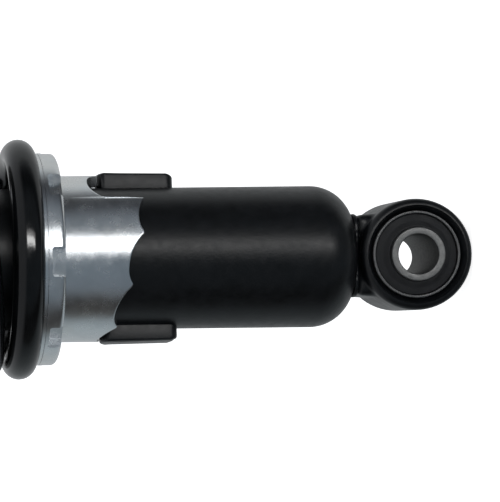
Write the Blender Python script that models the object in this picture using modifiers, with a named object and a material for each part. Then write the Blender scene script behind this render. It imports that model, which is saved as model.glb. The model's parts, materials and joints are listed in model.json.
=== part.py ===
"""Twin-tube coil-over shock absorber with a stepped preload collar.

It stands upright on its lower eye. Metres, +Z up along the damper's axis and
+Y along the bores of both eyes. The origin is the lowest point, under the
lower eye. Heights named _Z are counted from the centre of the lower eye,
where the root empty stands, and every other piece hangs under that empty.
"""

from math import atan2, cos, pi, radians, sin, tau

import bmesh
import bpy
from mathutils import Matrix

MM = 0.001

# Driving sizes
EYE_TO_EYE = 320 * MM
BODY_RADIUS = 18 * MM
BODY_WALL = 1.6 * MM
ROD_RADIUS = 6 * MM
BOLT_RADIUS = 5 * MM
GAP = 0.3 * MM
FLAT_GAP = 0.15 * MM

# Round pieces: flats around the axis
FINE_STEPS = 48
MEDIUM_STEPS = 32
HIDDEN_STEPS = 24
COLLAR_STEPS = 60

# Eyes, each with a rubber bush and a steel sleeve
EYE_RADIUS = 14 * MM
EYE_BORE_RADIUS = 11.3 * MM
EYE_LENGTH = 22 * MM
EYE_CHAMFER = 1.1 * MM
BUSH_SHELL_INNER_RADIUS = 10.3 * MM
BUSH_SHELL_LENGTH = 20.5 * MM
RUBBER_LENGTH = 21.5 * MM
SLEEVE_RADIUS = 6.7 * MM
SLEEVE_LENGTH = 24 * MM
NECK_HALF_WIDTH = 10.5 * MM
NECK_SHOULDER_HALF_WIDTH = 12.6 * MM
NECK_HALF_DEPTH = 8.5 * MM
NECK_SHOULDER_Z = 4 * MM

# Damper body
BODY_BOTTOM_Z = 14.55 * MM
BODY_CORNER = 10.2 * MM
BODY_TOP_Z = 186 * MM

# Cam lugs that the preload collar climbs
LUG_BOTTOM_Z = 59.3 * MM
LUG_TOP_Z = 79.2 * MM
LUG_WIDTH = 10 * MM
LUG_NOSE_RADIUS = 6 * MM
LUG_OUTER_RADIUS = 21.7 * MM
LUG_CORNER = 1.5 * MM
LUG_TOE_TAPER = 0.8 * MM
LUG_TOE_LENGTH = 2.9 * MM
LUG_AZIMUTHS = {"cam_lug_front": radians(187), "cam_lug_rear": radians(7)}

# Preload collar: five positions, 36 degrees apart, climbing one step each
CAM_STEP = 2.88 * MM
CAM_PITCH = radians(36)
CAM_RISE = CAM_STEP / CAM_PITCH
CAM_LEAD = radians(52)
CAM_START = LUG_AZIMUTHS["cam_lug_rear"] - CAM_LEAD
SLEEVE_BORE_RADIUS = 18.35 * MM
CAM_SLEEVE_RADIUS = 21.2 * MM
FLANGE_RADIUS = 27.1 * MM
FLANGE_REAR_Z = 89.8 * MM
FLANGE_CORNER = 1.5 * MM
FLANGE_TOP_Z = 94.2 * MM
NOTCH_COUNT = 8
NOTCH_FIRST_AZIMUTH = radians(267)
NOTCH_WIDTH = 7.2 * MM
NOTCH_DEPTH = 2.4 * MM
NOTCH_TOP_Z = 93.3 * MM

# Slip ring between the collar and the spring
SLIP_RING_THICKNESS = 0.5 * MM
SLIP_RING_BORE_RADIUS = 21.9 * MM
SLIP_RING_RADIUS = 27 * MM

# Spring
WIRE_RADIUS = 4 * MM
COIL_RADIUS = 26.6 * MM
SPRING_BOTTOM_Z = 95 * MM
SPRING_TOP_Z = 275 * MM
COIL_TURNS = 9.25
COIL_START = radians(100)
COIL_RISE = SPRING_TOP_Z - SPRING_BOTTOM_Z - 2 * (WIRE_RADIUS + FLAT_GAP)
DEAD_TURNS = 0.78
CLIMB_TURNS = 0.22
CLIMB_HEIGHT = 8.5 * MM
OPEN_START_TURNS = 1.2
OPEN_EASE_TURNS = 0.35
OPEN_PITCH = (COIL_RISE / 2 - CLIMB_HEIGHT) / (COIL_TURNS / 2 - OPEN_START_TURNS - OPEN_EASE_TURNS / 2)
POINTS_A_TURN = 14

# Inner tube and base valve
TUBE_INNER_RADIUS = 12.5 * MM
TUBE_OUTER_RADIUS = 13.8 * MM
TUBE_BOTTOM_Z = 32 * MM
TUBE_TOP_Z = 165 * MM
VALVE_DISC_Z = 36.3 * MM

# Rod and piston
ROD_TOP_Z = 299 * MM
ROD_SHOULDER_Z = 152 * MM
SPIGOT_RADIUS = 4 * MM
SPIGOT_BORE_RADIUS = 4.2 * MM
ROD_BOTTOM_Z = 132.5 * MM

# Top end
SEAT_THICKNESS = 2.5 * MM
SEAT_RADIUS = 33 * MM
SEAT_HUB_TOP_Z = 281 * MM


def material(name, colour, roughness, metallic):
    made = bpy.data.materials.new(name)
    made.use_nodes = True
    shader = made.node_tree.nodes["Principled BSDF"]
    shader.inputs["Base Color"].default_value = (*colour, 1)
    shader.inputs["Roughness"].default_value = roughness
    shader.inputs["Metallic"].default_value = metallic
    return made


def black_paint(name):
    return material(name, (0.012, 0.013, 0.014), 0.35, 0.0)


def zinc(name):
    return material(name, (0.62, 0.65, 0.68), 0.25, 1.0)


def machined_steel(name):
    return material(name, (0.42, 0.42, 0.43), 0.35, 1.0)


def black_rubber(name):
    return material(name, (0.02, 0.02, 0.02), 0.75, 0.0)


def bronze(name):
    return material(name, (0.5, 0.33, 0.15), 0.4, 1.0)


def clear_scene():
    for obj in list(bpy.data.objects):
        bpy.data.objects.remove(obj, do_unlink=True)


def make_collection(name, hidden):
    made = bpy.data.collections.new(name)
    made.hide_render = hidden
    bpy.context.scene.collection.children.link(made)
    return made


def empty(name, z, parent=None):
    made = bpy.data.objects.new(name, None)
    made.location = (0, 0, z)
    made.parent = parent
    PARTS.objects.link(made)
    return made


def add(name, mesh, finish, parent, z=0.0):
    """Puts a mesh in the scene as one piece, z above its parent."""
    made = bpy.data.objects.new(name, mesh)
    made.location = (0, 0, z)
    made.parent = parent
    PARTS.objects.link(made)
    mesh.materials.append(finish(name))
    return made


def add_cutter(name, mesh, parent):
    made = bpy.data.objects.new(name, mesh)
    made.parent = parent
    made.hide_render = True
    made.display_type = "WIRE"
    CUTTERS.objects.link(made)
    return made


def mesh_from(name, model):
    bmesh.ops.recalc_face_normals(model, faces=model.faces)
    mesh = bpy.data.meshes.new(name)
    model.to_mesh(mesh)
    model.free()
    return mesh


def smooth(mesh):
    mesh.shade_smooth()
    mesh.set_sharp_from_angle(angle=radians(35))


def boolean(target, other, operation):
    made = target.modifiers.new(operation.lower(), "BOOLEAN")
    made.operation = operation
    made.object = other
    made.solver = "EXACT"


def turned(name, profile, finish, parent, z=0.0, steps=MEDIUM_STEPS, closed=True):
    """A turned piece. Its profile, of (radius, height) points, runs down the outer side."""
    mesh = bpy.data.meshes.new(name)
    edges = [(i, i + 1) for i in range(len(profile) - 1)]
    if closed:
        edges.append((len(profile) - 1, 0))
    mesh.from_pydata([(radius, 0, height) for radius, height in profile], edges, [])
    made = add(name, mesh, finish, parent, z)
    screw = made.modifiers.new("turn", "SCREW")
    screw.steps = steps
    screw.render_steps = steps
    screw.use_merge_vertices = True
    screw.merge_threshold = 0.00001
    screw.use_normal_calculate = False
    return made


def ring(name, inner, outer, height, finish, parent, z, steps=HIDDEN_STEPS):
    profile = [(outer, height), (outer, 0), (inner, 0), (inner, height)]
    return turned(name, profile, finish, parent, z, steps)


def arc(centre, radius, start, end, count):
    """Points along an arc in the profile's plane, angles from outwards towards up."""
    turns = [start + (end - start) * i / count for i in range(count + 1)]
    return [
        (centre[0] + radius * cos(turn), centre[1] + radius * sin(turn))
        for turn in turns
    ]


def cylinder(radius, depth, steps, matrix=None):
    model = bmesh.new()
    bmesh.ops.create_cone(
        model,
        cap_ends=True,
        segments=steps,
        radius1=radius,
        radius2=radius,
        depth=depth,
        matrix=matrix or Matrix(),
    )
    return model


def nut(name, across_flats, height, bore, finish, parent, z):
    """A hexagon nut with a plain bore."""
    corner = across_flats / 2 / cos(pi / 6)
    lift = Matrix.Translation((0, 0, height / 2))
    body = cylinder(corner, height, 6, lift)
    made = add(name, mesh_from(name, body), finish, parent, z)
    hole = cylinder(bore, height * 3, HIDDEN_STEPS)
    cutter = add_cutter(name + "_bore", mesh_from(name + "_bore", hole), made)
    boolean(made, cutter, "DIFFERENCE")


ALONG_Y = Matrix.Rotation(-pi / 2, 4, "X")


def eye(name, parent, side, extras):
    """A forged eye: a ring along Y, with a neck on the side of +Z (1) or -Z (-1).

    Each of the extras is a (label, bmesh, operation) that is joined to it or cut from it.
    """
    body = cylinder(EYE_RADIUS, EYE_LENGTH, FINE_STEPS, ALONG_Y)
    ends = []
    for edge in body.edges:
        middle = (edge.verts[0].co.y + edge.verts[1].co.y) / 2
        if abs(abs(middle) - EYE_LENGTH / 2) < GAP:
            ends.append(edge)
    bmesh.ops.bevel(body, geom=ends, offset=EYE_CHAMFER, segments=1, affect="EDGES")
    made = add(name, mesh_from(name, body), black_paint, parent)

    neck = bmesh.new()
    bmesh.ops.create_cube(neck, size=2)
    for vert in neck.verts:
        at_body = vert.co.z * side > 0
        width = NECK_HALF_WIDTH if at_body else NECK_SHOULDER_HALF_WIDTH
        height = BODY_BOTTOM_Z - GAP if at_body else NECK_SHOULDER_Z
        vert.co = (vert.co.x * width, vert.co.y * NECK_HALF_DEPTH, side * height)
    bmesh.ops.bevel(neck, geom=neck.edges[:], offset=1.2 * MM, segments=1, affect="EDGES")
    bore = cylinder(EYE_BORE_RADIUS, EYE_LENGTH * 2, FINE_STEPS, ALONG_Y)
    steps = [("neck", neck, "UNION"), *extras, ("bore", bore, "DIFFERENCE")]
    for label, model, operation in steps:
        shape = mesh_from(f"{name}_{label}", model)
        boolean(made, add_cutter(f"{name}_{label}", shape, parent), operation)


def bush(prefix, parent, sleeve_parent):
    """A rubber bush in an eye: an outer shell, the rubber, and a sleeve that can twist."""
    rubber_inner = SLEEVE_RADIUS + GAP
    rubber_outer = BUSH_SHELL_INNER_RADIUS - FLAT_GAP
    lip = 0.6 * MM
    half = RUBBER_LENGTH / 2
    rubber = [
        (rubber_outer, half - lip),
        (rubber_outer, lip - half),
        (rubber_outer - lip, -half),
        (rubber_inner, -half),
        (rubber_inner, half),
        (rubber_outer - lip, half),
    ]
    shell = [
        (EYE_BORE_RADIUS - GAP, BUSH_SHELL_LENGTH / 2),
        (EYE_BORE_RADIUS - GAP, -BUSH_SHELL_LENGTH / 2),
        (BUSH_SHELL_INNER_RADIUS, -BUSH_SHELL_LENGTH / 2),
        (BUSH_SHELL_INNER_RADIUS, BUSH_SHELL_LENGTH / 2),
    ]
    sleeve = [
        (SLEEVE_RADIUS, SLEEVE_LENGTH / 2),
        (SLEEVE_RADIUS, -SLEEVE_LENGTH / 2),
        (BOLT_RADIUS, -SLEEVE_LENGTH / 2),
        (BOLT_RADIUS, SLEEVE_LENGTH / 2),
    ]
    pieces = [
        turned(prefix + "_bush_shell", shell, machined_steel, parent),
        turned(prefix + "_bush_rubber", rubber, black_rubber, parent),
        turned(prefix + "_bush_sleeve", sleeve, machined_steel, sleeve_parent),
    ]
    for piece in pieces:
        piece.rotation_euler = (-pi / 2, 0, 0)


def reservoir_tube(parent):
    inner = BODY_RADIUS - BODY_WALL
    height = BODY_TOP_Z - BODY_BOTTOM_Z
    outer_corner = arc((BODY_RADIUS - BODY_CORNER, BODY_CORNER), BODY_CORNER, 0, -pi / 2, 5)
    inner_corner = arc(
        (BODY_RADIUS - BODY_CORNER, BODY_CORNER), BODY_CORNER - BODY_WALL, -pi / 2, 0, 3
    )
    profile = [
        (0, BODY_WALL),
        *inner_corner,
        (inner, height),
        (BODY_RADIUS, height),
        *outer_corner,
        (0, 0),
    ]
    turned("reservoir_tube", profile, black_paint, parent, BODY_BOTTOM_Z, FINE_STEPS, closed=False)


def cam_lug(name, parent, azimuth):
    """A short bar on the body's side, with a rounded nose under the collar's cam edge."""
    half = LUG_WIDTH / 2
    nose_centre = LUG_TOP_Z - LUG_NOSE_RADIUS
    nose = []
    for i in range(9):
        across = half * (1 - i / 4)
        nose.append((across, nose_centre + (LUG_NOSE_RADIUS**2 - across**2) ** 0.5))
    foot = [
        (-half, LUG_BOTTOM_Z + LUG_CORNER),
        (LUG_CORNER - half, LUG_BOTTOM_Z),
        (half - LUG_CORNER, LUG_BOTTOM_Z),
        (half, LUG_BOTTOM_Z + LUG_CORNER),
    ]
    root = BODY_RADIUS - 1.5 * MM
    model = bmesh.new()
    outline = [model.verts.new((root, y, z)) for y, z in nose + foot]
    grown = bmesh.ops.extrude_face_region(model, geom=[model.faces.new(outline)])
    for vert in grown["geom"]:
        if isinstance(vert, bmesh.types.BMVert):
            taper = max(0.0, 1 - (vert.co.z - LUG_BOTTOM_Z) / LUG_TOE_LENGTH)
            vert.co.x = LUG_OUTER_RADIUS - LUG_TOE_TAPER * taper
    mesh = mesh_from(name, model)
    made = add(name, mesh, black_paint, parent)
    made.rotation_euler = (0, 0, azimuth)
    height = (LUG_TOP_Z - LUG_BOTTOM_Z) * 2
    middle = Matrix.Translation((0, 0, (LUG_TOP_Z + LUG_BOTTOM_Z) / 2))
    seat = cylinder(BODY_RADIUS + GAP, height, FINE_STEPS * 2, middle)
    cutter = add_cutter(name + "_seat", mesh_from(name + "_seat", seat), parent)
    boolean(made, cutter, "DIFFERENCE")


def cam_edge_z(azimuth):
    """Height of the collar's lower edge: two equal ramps, each over one lug."""
    slope = CAM_RISE / CAM_SLEEVE_RADIUS
    nose_clearance = LUG_NOSE_RADIUS * ((1 + slope**2) ** 0.5 - 1)
    over_lug = LUG_TOP_Z + GAP + nose_clearance
    along = (azimuth - CAM_START) % pi
    return over_lug - CAM_RISE * (along - CAM_LEAD)


def preload_cam_collar(parent):
    corner_centre = (FLANGE_RADIUS - FLANGE_CORNER, FLANGE_REAR_Z + FLANGE_CORNER)
    low = LUG_BOTTOM_Z
    profile = [
        (FLANGE_RADIUS, FLANGE_TOP_Z),
        *arc(corner_centre, FLANGE_CORNER, 0, -pi / 2, 3),
        (CAM_SLEEVE_RADIUS, FLANGE_REAR_Z),
        (CAM_SLEEVE_RADIUS, low),
        (SLEEVE_BORE_RADIUS, low),
        (SLEEVE_BORE_RADIUS, FLANGE_TOP_Z),
    ]
    model = bmesh.new()
    outline = [model.verts.new((radius, 0, height)) for radius, height in profile]
    edges = [model.edges.new((outline[i - 1], outline[i])) for i in range(len(outline))]
    for vert in outline:
        vert.co.rotate(Matrix.Rotation(CAM_START, 3, "Z"))
    bmesh.ops.spin(
        model,
        geom=outline + edges,
        axis=(0, 0, 1),
        cent=(0, 0, 0),
        angle=tau,
        steps=COLLAR_STEPS,
        use_merge=True,
    )
    rounding = radians(0.01)
    for vert in model.verts:
        if vert.co.z < low + GAP:
            vert.co.z = cam_edge_z(atan2(vert.co.y, vert.co.x) + rounding)
    made = add("preload_cam_collar", mesh_from("preload_cam_collar", model), zinc, parent)

    notches = bmesh.new()
    height = NOTCH_TOP_Z - FLANGE_REAR_Z + 2 * MM
    size = Matrix.Diagonal((NOTCH_DEPTH * 2, NOTCH_WIDTH, height, 1))
    for i in range(NOTCH_COUNT):
        turn = Matrix.Rotation(NOTCH_FIRST_AZIMUTH + tau * i / NOTCH_COUNT, 4, "Z")
        place = Matrix.Translation((FLANGE_RADIUS, 0, NOTCH_TOP_Z - height / 2))
        bmesh.ops.create_cube(notches, size=1, matrix=turn @ place @ size)
    cutter = add_cutter("collar_notches", mesh_from("collar_notches", notches), parent)
    boolean(made, cutter, "DIFFERENCE")


def coil_rise(turns):
    """Height of the wire's centre above its start: a flat end coil, a climb over its tip, open coils."""
    if turns > COIL_TURNS / 2:
        return COIL_RISE - coil_rise(COIL_TURNS - turns)
    climb = min(max((turns - DEAD_TURNS) / CLIMB_TURNS, 0), 1)
    height = CLIMB_HEIGHT * climb**2 * (3 - 2 * climb)
    opened = max(turns - OPEN_START_TURNS, 0)
    if opened < OPEN_EASE_TURNS:
        return height + OPEN_PITCH * opened**2 / (2 * OPEN_EASE_TURNS)
    return height + OPEN_PITCH * (opened - OPEN_EASE_TURNS / 2)


def coil_spring(parent):
    curve = bpy.data.curves.new("coil_spring", "CURVE")
    curve.dimensions = "3D"
    curve.bevel_depth = WIRE_RADIUS
    curve.bevel_resolution = 2
    curve.use_fill_caps = True
    count = round(COIL_TURNS * POINTS_A_TURN)
    path = curve.splines.new("POLY")
    path.points.add(count)
    base = SPRING_BOTTOM_Z + WIRE_RADIUS + FLAT_GAP
    for i, point in enumerate(path.points):
        turns = COIL_TURNS * i / count
        turn = COIL_START + tau * turns
        point.co = (COIL_RADIUS * cos(turn), COIL_RADIUS * sin(turn), base + coil_rise(turns), 1)
    wire = bpy.data.objects.new("coil_path", curve)
    PARTS.objects.link(wire)
    graph = bpy.context.evaluated_depsgraph_get()
    mesh = bpy.data.meshes.new_from_object(wire.evaluated_get(graph))
    bpy.data.objects.remove(wire, do_unlink=True)
    model = bmesh.new()
    model.from_mesh(mesh)
    bmesh.ops.remove_doubles(model, verts=model.verts, dist=0.00001)
    add("coil_spring", mesh_from("coil_spring", model), black_paint, parent)


def base_valve(parent, disc_parent):
    tube = TUBE_OUTER_RADIUS
    spigot = TUBE_INNER_RADIUS - GAP
    body = [
        (spigot, 19 * MM),
        (spigot, 14.7 * MM),
        (tube, 14.7 * MM),
        (tube, 7 * MM),
        (11 * MM, 0),
        (9.5 * MM, 0),
        (9.5 * MM, 7 * MM),
        (3.2 * MM, 7 * MM),
        (3.2 * MM, 19 * MM),
    ]
    turned("base_valve_body", body, machined_steel, parent, 17 * MM, HIDDEN_STEPS)
    bolt = [
        (0, 22 * MM),
        (5 * MM, 22 * MM),
        (5 * MM, 19.6 * MM),
        (2.9 * MM, 19.6 * MM),
        (2.9 * MM, 0),
        (0, 0),
    ]
    turned("base_valve_bolt", bolt, machined_steel, parent, 18.5 * MM, HIDDEN_STEPS, closed=False)
    nut("base_valve_nut", 10 * MM, 4 * MM, 3.15 * MM, machined_steel, parent, 19.7 * MM)
    ring("check_valve_disc", 3.5 * MM, 11.4 * MM, 0.6 * MM, machined_steel, disc_parent, 0)


def guide_and_seals(parent):
    wall = BODY_RADIUS - BODY_WALL - GAP
    ring(
        "pressure_tube",
        TUBE_INNER_RADIUS,
        TUBE_OUTER_RADIUS,
        TUBE_TOP_Z - TUBE_BOTTOM_Z,
        machined_steel,
        parent,
        TUBE_BOTTOM_Z,
        MEDIUM_STEPS,
    )
    bush_seat = 7.5 * MM
    groove = 14 * MM
    guide = [
        (wall, 14 * MM),
        (wall, 8.4 * MM),
        (groove, 8.4 * MM),
        (groove, 5.8 * MM),
        (wall, 5.8 * MM),
        (wall, 4.3 * MM),
        (TUBE_INNER_RADIUS - GAP, 4.3 * MM),
        (TUBE_INNER_RADIUS - GAP, 0),
        (bush_seat, 0),
        (bush_seat, 14 * MM),
    ]
    turned("rod_guide", guide, machined_steel, parent, 161 * MM, HIDDEN_STEPS)
    liner = bush_seat - GAP
    ring("rod_guide_bush", ROD_RADIUS + GAP, liner, 13.4 * MM, bronze, parent, 161.3 * MM)
    section = 1.05 * MM
    o_ring = arc((15.15 * MM, 168.1 * MM), section, pi / 2, -3 * pi / 2, 6)[:-1]
    turned("guide_o_ring", o_ring, black_rubber, parent, steps=HIDDEN_STEPS)
    lip = ROD_RADIUS + GAP
    seal = [
        (wall, 5 * MM),
        (wall, 0),
        (8 * MM, 0),
        (lip, 1.5 * MM),
        (8.5 * MM, 2.5 * MM),
        (lip, 4.2 * MM),
        (lip + 0.8 * MM, 5 * MM),
    ]
    turned("rod_seal", seal, black_rubber, parent, 175.2 * MM, HIDDEN_STEPS)
    wiper_seat = 9.3 * MM
    cap = [
        (BODY_RADIUS, 9 * MM),
        (BODY_RADIUS, 5.8 * MM),
        (wall, 5.8 * MM),
        (wall, 0),
        (7 * MM, 0),
        (7 * MM, 3.5 * MM),
        (wiper_seat, 3.5 * MM),
        (wiper_seat, 9 * MM),
    ]
    turned("gland_nut", cap, machined_steel, parent, 180.5 * MM)
    wiper = [
        (wiper_seat - GAP, 4.6 * MM),
        (wiper_seat - GAP, 0),
        (lip + 0.6 * MM, 0),
        (lip, 5.6 * MM),
        (lip + 0.6 * MM, 6.6 * MM),
    ]
    turned("dust_wiper", wiper, black_rubber, parent, 184.4 * MM, HIDDEN_STEPS)


def piston_rod(parent):
    chamfer = 0.8 * MM
    rod = [
        (0, ROD_TOP_Z - ROD_BOTTOM_Z),
        (ROD_RADIUS - chamfer, ROD_TOP_Z - ROD_BOTTOM_Z),
        (ROD_RADIUS, ROD_TOP_Z - ROD_BOTTOM_Z - chamfer),
        (ROD_RADIUS, ROD_SHOULDER_Z - ROD_BOTTOM_Z),
        (SPIGOT_RADIUS, ROD_SHOULDER_Z - ROD_BOTTOM_Z),
        (SPIGOT_RADIUS, 0),
        (0, 0),
    ]
    turned("piston_rod", rod, machined_steel, parent, ROD_BOTTOM_Z, HIDDEN_STEPS, closed=False)


def piston_stack(parent):
    """The pieces clamped on the rod's spigot, from the nut up, then the top-out stop."""
    bore = SPIGOT_BORE_RADIUS
    nut("piston_nut", 13 * MM, 4.6 * MM, bore, machined_steel, parent, 133 * MM)
    ring("lower_backing_washer", bore, 8 * MM, 1.2 * MM, machined_steel, parent, 137.8 * MM)
    ring("rebound_shim", bore, 9.6 * MM, 0.5 * MM, machined_steel, parent, 139.2 * MM)
    outer = TUBE_INNER_RADIUS - 0.5 * MM
    groove = 10.9 * MM
    piston = [
        (outer, 9 * MM),
        (outer, 7.2 * MM),
        (groove, 7.2 * MM),
        (groove, 1.8 * MM),
        (outer, 1.8 * MM),
        (outer, 0),
        (bore, 0),
        (bore, 9 * MM),
    ]
    turned("piston", piston, machined_steel, parent, 139.9 * MM, HIDDEN_STEPS)
    band = TUBE_INNER_RADIUS - 0.25 * MM
    ring("piston_band", groove + GAP, band, 5 * MM, bronze, parent, 141.9 * MM)
    ring("compression_shim", bore, 10.2 * MM, 0.5 * MM, machined_steel, parent, 149.1 * MM)
    ring("upper_backing_washer", bore, 8 * MM, 2 * MM, machined_steel, parent, 149.8 * MM)
    on_rod = ROD_RADIUS + GAP
    ring("top_out_collar", on_rod, 10.5 * MM, 3 * MM, machined_steel, parent, 152.2 * MM)
    ring("top_out_rubber", on_rod, 10 * MM, 5.2 * MM, black_rubber, parent, 155.4 * MM)


def bump_stop(parent):
    """Its underside stops half a millimetre above the dust wiper at full stroke."""
    inner = ROD_RADIUS + GAP
    bumper = [
        (12.5 * MM, 17 * MM),
        (13 * MM, 11.8 * MM),
        (10.8 * MM, 10 * MM),
        (12.2 * MM, 7.6 * MM),
        (9.4 * MM, 5.2 * MM),
        (9.8 * MM, 1.9 * MM),
        (8.4 * MM, 0),
        (inner, 0),
        (inner, 17 * MM),
    ]
    turned("bump_stop", bumper, black_rubber, parent, 256.5 * MM, HIDDEN_STEPS)
    ring("bump_stop_washer", inner, 14 * MM, 1.2 * MM, zinc, parent, 273.7 * MM)


def upper_spring_seat(parent):
    hub = 12 * MM
    top = SEAT_HUB_TOP_Z - SPRING_TOP_Z
    lip_drop = 5 * MM
    lip_wall = 1.8 * MM
    corner = 2 * MM
    profile = [
        (hub, top),
        (hub + 1.5 * MM, SEAT_THICKNESS),
        (SEAT_RADIUS - corner, SEAT_THICKNESS),
        (SEAT_RADIUS, SEAT_THICKNESS - corner),
        (SEAT_RADIUS, -lip_drop),
        (SEAT_RADIUS - lip_wall, -lip_drop),
        (SEAT_RADIUS - lip_wall, FLAT_GAP),
        (21.5 * MM, FLAT_GAP),
        (20.5 * MM, -3 * MM),
        (18.5 * MM, -3 * MM),
        (17.5 * MM, FLAT_GAP),
        (ROD_RADIUS + GAP, FLAT_GAP),
        (ROD_RADIUS + GAP, top),
    ]
    turned("upper_spring_seat", profile, zinc, parent, SPRING_TOP_Z)


def upper_end(parent, sleeve_parent):
    """The eye screwed on the rod, with its lock nut. Heights are below the eye's centre."""
    nut_height = 5.7 * MM
    nut_bottom = SEAT_HUB_TOP_Z + GAP - EYE_TO_EYE
    nut("rod_lock_nut", 19 * MM, nut_height, ROD_RADIUS + GAP, zinc, parent, nut_bottom)
    shank_top = -8 * MM
    shank_bottom = nut_bottom + nut_height + GAP
    middle = Matrix.Translation((0, 0, (shank_top + shank_bottom) / 2))
    shank = cylinder(10 * MM, shank_top - shank_bottom, MEDIUM_STEPS, middle)
    socket_top = ROD_TOP_Z + GAP - EYE_TO_EYE
    middle = Matrix.Translation((0, 0, socket_top + shank_bottom / 2))
    socket = cylinder(ROD_RADIUS + GAP, -shank_bottom, HIDDEN_STEPS, middle)
    extras = [("shank", shank, "UNION"), ("socket", socket, "DIFFERENCE")]
    eye("upper_eye", parent, -1, extras)
    bush("upper", parent, sleeve_parent)


clear_scene()
PARTS = make_collection("strut_assembly", hidden=False)
CUTTERS = make_collection("cutters", hidden=True)

body_frame = empty("damper_body_frame", EYE_RADIUS)
lower_pivot = empty("lower_eye_axis", 0, body_frame)
collar_axis = empty("collar_axis", 0, body_frame)
rod_axis = empty("rod_axis", 0, body_frame)
upper_pivot = empty("upper_eye_axis", EYE_TO_EYE, body_frame)
valve_axis = empty("check_valve_axis", VALVE_DISC_Z, body_frame)

eye("lower_eye", body_frame, 1, extras=[])
bush("lower", body_frame, lower_pivot)
reservoir_tube(body_frame)
for lug_name, lug_azimuth in LUG_AZIMUTHS.items():
    cam_lug(lug_name, body_frame, lug_azimuth)
base_valve(body_frame, valve_axis)
guide_and_seals(body_frame)
preload_cam_collar(collar_axis)
ring(
    "spring_slip_ring",
    SLIP_RING_BORE_RADIUS,
    SLIP_RING_RADIUS,
    SLIP_RING_THICKNESS,
    zinc,
    collar_axis,
    FLANGE_TOP_Z + FLAT_GAP,
    MEDIUM_STEPS,
)
coil_spring(body_frame)
piston_rod(rod_axis)
piston_stack(rod_axis)
bump_stop(rod_axis)
upper_spring_seat(rod_axis)
upper_end(upper_pivot, upper_pivot)
for made_piece in PARTS.objects:
    if made_piece.type == "MESH":
        smooth(made_piece.data)
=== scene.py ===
"""Looks for the coil-over strut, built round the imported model. Metres, +Z up along the damper."""

import json
from math import atan2, ceil, cos, hypot, pi, radians, sin, sqrt, tau

import bmesh
import bpy
from mathutils import Matrix, Vector


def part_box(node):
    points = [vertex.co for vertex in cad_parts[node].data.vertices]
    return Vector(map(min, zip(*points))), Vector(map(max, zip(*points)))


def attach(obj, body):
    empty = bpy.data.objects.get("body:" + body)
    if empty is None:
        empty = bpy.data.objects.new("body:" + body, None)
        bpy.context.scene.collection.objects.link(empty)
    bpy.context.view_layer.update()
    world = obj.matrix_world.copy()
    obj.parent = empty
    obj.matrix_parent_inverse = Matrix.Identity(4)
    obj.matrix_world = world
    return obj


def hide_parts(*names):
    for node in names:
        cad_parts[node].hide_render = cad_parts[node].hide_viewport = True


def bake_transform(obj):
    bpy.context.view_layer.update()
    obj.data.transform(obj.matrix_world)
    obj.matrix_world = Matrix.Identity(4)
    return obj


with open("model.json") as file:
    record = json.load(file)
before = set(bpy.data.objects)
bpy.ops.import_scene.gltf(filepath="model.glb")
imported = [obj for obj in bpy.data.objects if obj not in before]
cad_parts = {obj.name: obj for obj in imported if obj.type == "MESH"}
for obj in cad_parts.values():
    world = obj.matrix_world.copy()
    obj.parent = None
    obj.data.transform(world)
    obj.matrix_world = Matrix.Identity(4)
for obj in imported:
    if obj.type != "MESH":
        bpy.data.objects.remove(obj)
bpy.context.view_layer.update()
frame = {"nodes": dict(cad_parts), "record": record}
MM = 0.001

# ---------------------------------------------------------------- sizes, from the frame
LOWER_EYE_Z = (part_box("lower_bush_sleeve")[0].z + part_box("lower_bush_sleeve")[1].z) / 2
UPPER_EYE_Z = (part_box("upper_bush_sleeve")[0].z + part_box("upper_bush_sleeve")[1].z) / 2
EYE_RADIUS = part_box("lower_eye")[1].x
EYE_HALF_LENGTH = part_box("lower_eye")[1].y
SLEEVE_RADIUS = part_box("lower_bush_sleeve")[1].x
SLEEVE_HALF_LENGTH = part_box("lower_bush_sleeve")[1].y
BUSH_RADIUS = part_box("lower_bush_shell")[1].x
RUBBER_HALF_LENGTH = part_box("lower_bush_rubber")[1].y
BOLT_RADIUS = 5 * MM

BODY_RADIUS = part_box("reservoir_tube")[1].x
BODY_BOTTOM_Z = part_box("reservoir_tube")[0].z
BODY_TOP_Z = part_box("reservoir_tube")[1].z
BODY_WALL = 1.6 * MM
BODY_CORNER = 10.2 * MM

LUG_BOTTOM_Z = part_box("cam_lug_front")[0].z
LUG_TOP_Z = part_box("cam_lug_front")[1].z
LUG_HALF_WIDTH = 4 * MM
LUG_NOSE_RADIUS = 6 * MM
LUG_NOSE_GAP = 0.5 * MM
LUG_CORNER = 2.2 * MM
LUG_TOE_TAPER = 0.8 * MM
LUG_TOE_LENGTH = 2.9 * MM
LUG_ROOT_RADIUS = 16.2 * MM
LUG_OUTER_RADIUS = 21.7 * MM
LUG_AZIMUTHS = {"cam_lug_front": radians(187), "cam_lug_rear": radians(7)}

FLANGE_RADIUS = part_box("preload_cam_collar")[1].x
FLANGE_TOP_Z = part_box("preload_cam_collar")[1].z
FLANGE_REAR_Z = FLANGE_TOP_Z - 4.4 * MM
FLANGE_CORNER = 1.5 * MM
CAM_RADIUS = 21.2 * MM
CAM_BORE_RADIUS = 18.35 * MM
CAM_STEP = 2.88 * MM
CAM_PITCH = radians(36)
NOTCH_COUNT = 8
NOTCH_FIRST_AZIMUTH = radians(267)
NOTCH_WIDTH = 7.2 * MM
NOTCH_DEPTH = 2.5 * MM
NOTCH_TOP_Z = FLANGE_TOP_Z - 0.9 * MM

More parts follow.
